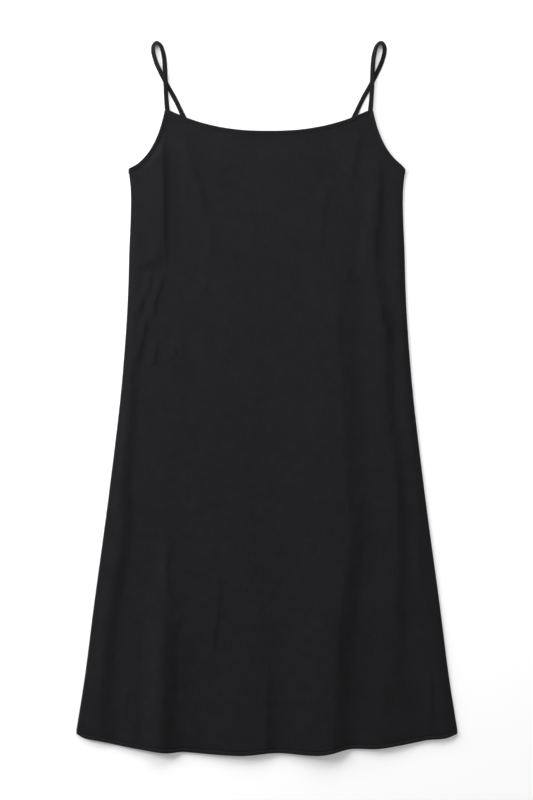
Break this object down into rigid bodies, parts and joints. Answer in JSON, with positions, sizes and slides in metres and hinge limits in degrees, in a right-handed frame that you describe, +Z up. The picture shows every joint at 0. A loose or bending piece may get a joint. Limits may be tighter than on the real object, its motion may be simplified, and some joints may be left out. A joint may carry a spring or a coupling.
{
  "type": "tank dress",
  "caption": "Sleeveless A-line slip dress laid flat: front and back panels, bound scoop neckline and armholes, thin straps lying in crossed loops.",
  "frame": {"origin": "on the surface the dress lies on, under the middle of its outline", "axes": "+Z up off the surface, +Y from the hem towards the neck and straps, +X to the right of someone looking down at the front"},
  "size_m": [0.6108, 1.1449, 0.012],
  "materials": {
    "cloth": "matte black plain weave",
    "binding": "matte black bias strip, topstitched",
    "strap": "matte black turned strip"
  },
  "bodies": {
    "root": {"front_panel": "cloth", "back_panel": "cloth", "neck_binding_front": "binding", "neck_binding_back": "binding", "armhole_binding_front_left": "binding", "armhole_binding_back_left": "binding", "armhole_binding_front_right": "binding", "armhole_binding_back_right": "binding", "strap_left": "strap", "strap_right": "strap"}
  },
  "joints": []
}
